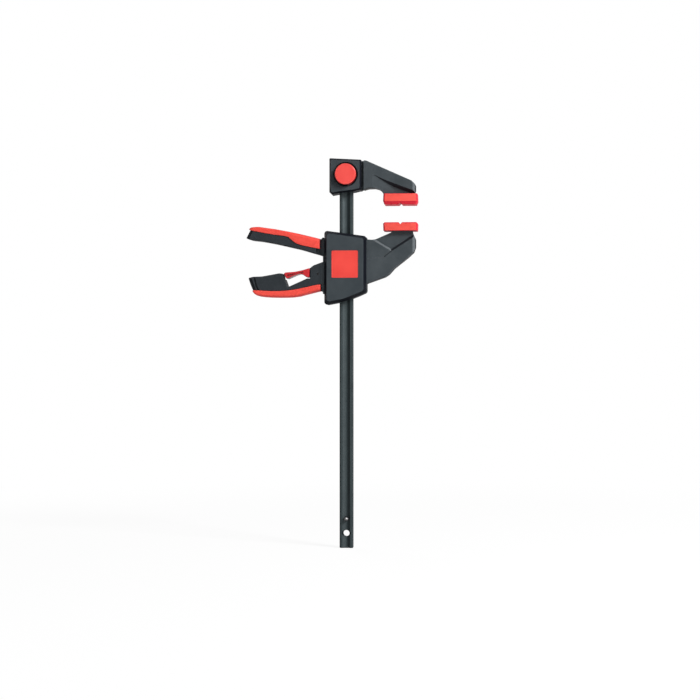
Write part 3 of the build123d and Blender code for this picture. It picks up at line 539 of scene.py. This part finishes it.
# Steels. The pins, plates and springs have one tone all round, whatever way a face looks.
evenSteel = {
    "flank": (0.3, 0.3, 0.3), "flankShare": 0.0, "flankEdge": 0.6,
    "slopes": (0.0, 0.22), "highlightShare": 0.0, "shadeShare": 0.0,
    "stretch": 1.0, "metal": 1.0, "gloss": 0.3,
}
steels = {
    # The rail's slopes get painted highlight and painted shade, and its flanks painted shade
    "burnishedRail": {
        "dark": (0.030, 0.041, 0.044), "light": (0.046, 0.060, 0.063),
        "patch": (0.022, 0.029, 0.032), "patchShare": 0.35,
        "wornAndHighlight": (0.10, 0.115, 0.12), "wearAndSheenShare": 0.25, "wearAndSheenReach": 0.0005,
        "flank": (0.006, 0.009, 0.010), "flankShare": 0.95, "flankEdge": 0.8,
        "slopes": (0.0, 0.22), "highlightShare": 0.3, "shadeShare": 0.85,
        "lines": 1500.0, "stretch": 0.012, "depth": 0.00002,
        "rough": (0.42, 0.52), "metal": 0.35, "gloss": 0.1,
    },
    "zincedPin": {
        **evenSteel,
        "dark": (0.36, 0.37, 0.38), "light": (0.46, 0.47, 0.48),
        "patch": (0.30, 0.31, 0.33), "patchShare": 0.4,
        "wornAndHighlight": (0.60, 0.60, 0.60), "wearAndSheenShare": 0.5, "wearAndSheenReach": 0.0003,
        "lines": 2600.0, "depth": 0.00001, "rough": (0.30, 0.42),
    },
    "blackedPin": {
        **evenSteel,
        "dark": (0.020, 0.021, 0.024), "light": (0.034, 0.035, 0.038),
        "patch": (0.05, 0.045, 0.04), "patchShare": 0.3,
        "wornAndHighlight": (0.14, 0.14, 0.14), "wearAndSheenShare": 0.4, "wearAndSheenReach": 0.0003,
        "lines": 2600.0, "depth": 0.00001, "rough": (0.36, 0.48), "metal": 0.8,
    },
    "hardenedPlate": {
        **evenSteel,
        "dark": (0.24, 0.235, 0.23), "light": (0.32, 0.31, 0.30),
        "patch": (0.20, 0.17, 0.15), "patchShare": 0.5,
        "wornAndHighlight": (0.5, 0.49, 0.48), "wearAndSheenShare": 0.6, "wearAndSheenReach": 0.0004,
        "lines": 1800.0, "depth": 0.00002, "rough": (0.34, 0.48),
    },
    "springWire": {
        **evenSteel,
        "dark": (0.34, 0.34, 0.35), "light": (0.44, 0.44, 0.45),
        "patch": (0.28, 0.27, 0.26), "patchShare": 0.4,
        "wornAndHighlight": (0.5, 0.5, 0.5), "wearAndSheenShare": 0.2, "wearAndSheenReach": 0.0002,
        "lines": 2400.0, "depth": 0.00001, "rough": (0.26, 0.36),
    },
}

finishes = {name: mouldedFinish(name, look) for name, look in mouldings.items()}
finishes.update({name: steelFinish(name, look) for name, look in steels.items()})

dressing = {
    "blackNylon": ["fixed_jaw", "slide_body", "pump_lever"],
    "coverNylon": ["head_front_cover", "head_rear_cover", "front_cover", "rear_cover"],
    "buttonRed": ["release_button"],
    "triggerRed": ["release_lever"],
    "burnishedRail": ["rail"],
    "zincedPin": ["lever_pivot_pin", "lock_pin"],
    "blackedPin": ["rail_stop_pin", "release_lever_pin", "head_screws", "cover_screws"],
    "hardenedPlate": ["drive_plates", "brake_plate"],
    "springWire": ["lock_pin_clip"],
}


def dress(piece, finish):
    piece.data.materials.clear()
    piece.data.materials.append(finishes[finish])


for finish, names in dressing.items():
    for name in names:
        dress(nodes[name], finish)
print("finishes on", sum(len(names) for names in dressing.values()), "nodes")


# Modelling by hand: a primitive, edit mode, and faces or edges picked by their place
near = 0.0001  # metres within which two heights count as one
squareOn = 0.9  # cosine from which a face counts as looking one way
mergeReach = 0.00001  # metres
softSteps = 2  # segments of a softened edge


def startEdit(name):
    piece = bpy.context.object
    piece.name = name
    bpy.ops.object.transform_apply(location=True, rotation=True, scale=True)
    bpy.ops.object.mode_set(mode="EDIT")
    return piece


def pick(piece, kind, test):
    bpy.ops.mesh.select_mode(type=kind)
    bpy.ops.mesh.select_all(action="DESELECT")
    mesh = bmesh.from_edit_mesh(piece.data)
    for element in {"VERT": mesh.verts, "EDGE": mesh.edges, "FACE": mesh.faces}[kind]:
        if test(element):
            element.select_set(True)
    mesh.select_flush_mode()
    bmesh.update_edit_mesh(piece.data)


def finishPiece(piece, node, body, finish, shape):
    bpy.ops.mesh.select_all(action="SELECT")
    bpy.ops.mesh.remove_doubles(threshold=mergeReach)
    bpy.ops.mesh.normals_make_consistent(inside=False)
    bpy.ops.object.mode_set(mode="OBJECT")
    bevel = piece.modifiers.new("softEdges", "BEVEL")
    bevel.width = shape["softness"]
    bevel.segments = softSteps
    bevel.limit_method = "ANGLE"
    bevel.angle_limit = math.radians(shape["edgeAngle"])
    bpy.ops.object.modifier_apply(modifier=bevel.name)
    bpy.ops.object.shade_smooth_by_angle(angle=math.radians(shape["smoothAngle"]))
    dress(piece, finish)
    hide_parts(node)
    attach(piece, body)
    print(piece.name, len(piece.data.polygons), "faces")


# Clamping pads, in metres. Up is the way the clamping face looks, and the rim slopes in from
# the sides to that face.
pads = {
    "length": 0.044,
    "width": 0.028,
    "corner": 0.0027,
    "cornerSteps": 8,
    "draft": 0.0004,
    "grooveHalf": 0.0022,
    "grooveDepth": 0.0026,
    "softness": 0.0004,
    "edgeAngle": 28.0,  # degrees, from where an edge is softened
    "smoothAngle": 12.5,  # degrees, up to where faces are shaded as one
    "fixed": {"face": 0.0, "seat": 0.0138, "up": -1, "rim": (0.0018, 0.0042)},  # inwards, height
    "moving": {"face": -0.0226, "seat": -0.0332, "up": 1, "rim": (0.0018, 0.0014)},
}


def makePad(name, which, node, body):
    halfX = pads["length"] / 2
    halfY = pads["width"] / 2
    face, seat, up = which["face"], which["seat"], which["up"]
    inward, along = which["rim"]
    edge = face - up * along  # where the rim starts on the pad's sides
    bpy.ops.object.select_all(action="DESELECT")
    bpy.ops.mesh.primitive_cube_add(size=1, location=(0, 0, (edge + seat) / 2),
                                    scale=(2 * halfX, 2 * halfY, abs(edge - seat)))
    piece = startEdit(name)
    pick(piece, "EDGE", lambda side: abs(side.verts[0].co.z - side.verts[1].co.z) > near)
    bpy.ops.mesh.bevel(offset=pads["corner"], segments=pads["cornerSteps"])
    pick(piece, "VERT", lambda vert: abs(vert.co.z - seat) < near)
    drafted = (1 - pads["draft"] / halfX, 1 - pads["draft"] / halfY, 1)
    bpy.ops.transform.resize(value=drafted, center_override=(0, 0, seat))
    pick(piece, "FACE", lambda side: side.normal.z * up > squareOn)
    bpy.ops.mesh.inset(thickness=inward)
    bpy.ops.transform.translate(value=(0, 0, up * along))

    # The V-groove: the pad is cut along the groove's edges and its root, and the root moved in
    root = face - up * pads["grooveDepth"]
    cuts = [((x, 0, 0), (1, 0, 0)) for x in (-pads["grooveHalf"], 0, pads["grooveHalf"])]
    if along > pads["grooveDepth"]:
        cuts.append(((0, 0, root), (0, 0, 1)))
    for point, normal in cuts:
        bpy.ops.mesh.select_all(action="SELECT")
        bpy.ops.mesh.bisect(plane_co=point, plane_no=normal, use_fill=False)
    for depth in (0, along):  # on the clamping face, then where the root leaves through the rim
        height = face - up * depth
        pick(piece, "VERT", lambda vert: abs(vert.co.x) < near and abs(vert.co.z - height) < near)
        bpy.ops.transform.translate(value=(0, 0, -up * max(pads["grooveDepth"] - depth, 0)))

    def besideGroove(side):  # the rim's faces at the groove's ends, which are no longer flat
        middle = side.calc_center_median()
        return (abs(middle.x) < pads["grooveHalf"] and (middle.z - root) * up > -near
                and abs(side.normal.y) > 1 - squareOn)

    pick(piece, "FACE", besideGroove)
    bpy.ops.mesh.quads_convert_to_tris(quad_method="LONGEST_DIAGONAL")
    finishPiece(piece, node, body, "padRed", pads)


makePad("fixedPad", pads["fixed"], "fixed_jaw_pad", "head_and_rail")
makePad("movingPad", pads["moving"], "moving_jaw_pad", "sliding_jaw")


# Soft grips, drawn as stations along the bar from its free end. Each station gives x, the height
# of the face on the core, the height of the outer face, and the share of the full width.
leverGrip = {
    "halfWidth": 0.0122,
    "crown": 0.0007,
    "corner": 0.0032,
    "cornerSteps": 4,
    "columns": 6,
    "rows": 3,
    "softness": 0.0003,
    "edgeAngle": 50.0,
    "smoothAngle": 40.0,
    "stations": [
        (-0.1938, -0.0305, -0.0299, 0.86), (-0.1930, -0.0312, -0.0288, 0.94),
        (-0.1915, -0.0317, -0.0279, 0.99), (-0.1890, -0.0321, -0.0274, 1.0),
        (-0.1815, -0.0337, -0.0272, 1.0), (-0.1735, -0.0353, -0.0284, 1.0),
        (-0.1604, -0.0375, -0.0303, 1.0), (-0.1475, -0.0392, -0.0327, 1.0),
        (-0.1431, -0.0405, -0.0336, 1.0), (-0.1390, -0.0442, -0.0345, 1.0),
        (-0.1360, -0.0467, -0.0352, 1.0), (-0.1320, -0.0489, -0.0361, 1.0),
        (-0.1270, -0.0508, -0.0373, 1.0), (-0.1200, -0.0524, -0.0390, 1.0),
        (-0.1110, -0.0543, -0.0412, 1.0), (-0.1031, -0.0555, -0.0432, 1.0),
    ],
}
handleGrip = {
    "halfWidth": 0.0122,
    "crown": 0.0007,
    "corner": 0.0034,
    "cornerSteps": 4,
    "columns": 6,
    "rows": 3,
    "softness": 0.0003,
    "edgeAngle": 50.0,
    "smoothAngle": 40.0,
    "stations": [
        (-0.1897, -0.1088, -0.1096, 0.90), (-0.1888, -0.1086, -0.1110, 0.96),
        (-0.1873, -0.1083, -0.1128, 1.0), (-0.1845, -0.1084, -0.1144, 1.0),
        (-0.1800, -0.1088, -0.1157, 1.0), (-0.1740, -0.1092, -0.1164, 1.0),
        (-0.1650, -0.1095, -0.1170, 1.0), (-0.1540, -0.1096, -0.1172, 1.0),
        (-0.1450, -0.1089, -0.1171, 1.0), (-0.1370, -0.1080, -0.1167, 1.0),
        (-0.1290, -0.1066, -0.1156, 1.0), (-0.1210, -0.1048, -0.1135, 1.0),
        (-0.1120, -0.1028, -0.1113, 1.0), (-0.1055, -0.1016, -0.1097, 1.0),
        (-0.1020, -0.1014, -0.1090, 0.99),
    ],
}


def makeGrip(name, shape, node, body):
    stations = shape["stations"]
    halfWidth, columns = shape["halfWidth"], shape["columns"]
    full = max(abs(outer - inner) for x, inner, outer, share in stations)
    lastX, inner, outer, share = stations[0]
    away = 1 if outer > inner else -1  # the way the outer face looks, along Z
    tall = abs(outer - inner)
    middle = (inner + outer) / 2
    outerZ = middle + away * full / 2

    # The end face, as high as the highest station until its corners and crown are made
    bpy.ops.object.select_all(action="DESELECT")
    bpy.ops.mesh.primitive_grid_add(x_subdivisions=shape["rows"], y_subdivisions=columns, size=1,
                                    location=(lastX, 0, middle),
                                    rotation=(0, math.radians(90), 0))
    bpy.context.object.scale = (full, 2 * halfWidth, 1)
    piece = startEdit(name)
    pick(piece, "VERT",
         lambda vert: abs(vert.co.z - outerZ) < near and abs(vert.co.y) > halfWidth - near)
    bpy.ops.mesh.bevel(affect="VERTICES", offset=shape["corner"], segments=shape["cornerSteps"])
    for column in range(1, columns):
        y = halfWidth * (2 * column / columns - 1)
        rise = shape["crown"] * (1 - (y / halfWidth) ** 2)
        pick(piece, "VERT",
             lambda vert: abs(vert.co.z - outerZ) < near and abs(vert.co.y - y) < near)
        bpy.ops.transform.translate(value=(0, 0, away * rise))
    bpy.ops.mesh.select_all(action="SELECT")
    bpy.ops.transform.resize(value=(1, share, tall / full), center_override=(lastX, 0, middle))

    # The end face is extruded from station to station
    for x, inner, outer, nextShare in stations[1:]:
        nextMiddle, nextTall = (inner + outer) / 2, abs(outer - inner)
        step = (x - lastX, 0, nextMiddle - middle)
        bpy.ops.mesh.extrude_region_move(TRANSFORM_OT_translate={"value": step})
        bpy.ops.transform.resize(value=(1, nextShare / share, nextTall / tall),
                                 center_override=(x, 0, nextMiddle))
        lastX, middle, tall, share = x, nextMiddle, nextTall, nextShare
    finishPiece(piece, node, body, "softGripRed", shape)


makeGrip("leverGrip", leverGrip, "pump_lever_grip", "pump_lever")
makeGrip("lowerGrip", handleGrip, "handle_grip", "sliding_jaw")


# Bare inlay on the front cover, with a fine raised border
inlay = {
    "low": (-0.08715, -0.0170, -0.09295),
    "high": (-0.05365, -0.0162, -0.05845),
    "corner": 0.0013,
    "cornerSteps": 3,
    "border": 0.0008,
    "sunk": 0.00015,
    "softness": 0.00012,
    "edgeAngle": 28.0,
    "smoothAngle": 5.0,
}


def makeInlay():
    low, high = Vector(inlay["low"]), Vector(inlay["high"])
    bpy.ops.object.select_all(action="DESELECT")
    bpy.ops.mesh.primitive_cube_add(size=1, location=(low + high) / 2, scale=high - low)
    piece = startEdit("inlay")
    pick(piece, "EDGE", lambda edge: abs(edge.verts[0].co.y - edge.verts[1].co.y) > near)
    bpy.ops.mesh.bevel(offset=inlay["corner"], segments=inlay["cornerSteps"])
    pick(piece, "FACE", lambda face: face.normal.y < -squareOn)
    bpy.ops.mesh.inset(thickness=inlay["border"])
    bpy.ops.transform.translate(value=(0, inlay["sunk"], 0))
    finishPiece(piece, "badge_plate", "sliding_jaw", "inlayRed", inlay)


makeInlay()
print("grips, pads and inlay modelled")


# Coil springs, copied from their nodes with merged vertices and smooth shading, and attached to the
# bodies they ride on
springs = {  # travel is how far the moving end goes, in metres
    "buttonSpring": {"node": "button_spring", "body": "head_and_rail", "joint": "button_press",
                     "axis": (0, 1, 0), "anchor": (0, -0.0063, 0), "travel": 0.005},
    "driveSpring": {"node": "drive_spring", "body": "sliding_jaw", "joint": "drive_plate_slide",
                    "axis": (0, 0, 1), "anchor": (0, 0, -0.082), "travel": 0.00601},
    "brakeSpring": {"node": "brake_spring", "body": "sliding_jaw", "joint": "brake_tilt",
                    "axis": (0, 0, 1), "anchor": (0, 0, -0.11), "travel": 0.0010},
}
springMesh = {
    "mergeReach": 0.000001,
    "smoothAngle": 40.0,
}


def makeSpring(name, shape):
    spring = bpy.data.objects.new(name, nodes[shape["node"]].data.copy())
    bpy.context.scene.collection.objects.link(spring)
    bpy.ops.object.select_all(action="DESELECT")
    spring.select_set(True)
    bpy.context.view_layer.objects.active = spring
    bpy.ops.mesh.customdata_custom_splitnormals_clear()
    bpy.ops.object.mode_set(mode="EDIT")
    bpy.ops.mesh.select_all(action="SELECT")
    bpy.ops.mesh.remove_doubles(threshold=springMesh["mergeReach"])
    bpy.ops.mesh.normals_make_consistent(inside=False)
    bpy.ops.object.mode_set(mode="OBJECT")
    bpy.ops.object.shade_smooth_by_angle(angle=math.radians(springMesh["smoothAngle"]))
    dress(spring, "springWire")
    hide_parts(shape["node"])
    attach(spring, shape["body"])
    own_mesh(spring)


for name, shape in springs.items():
    makeSpring(name, shape)
print("springs:", ", ".join(springs))
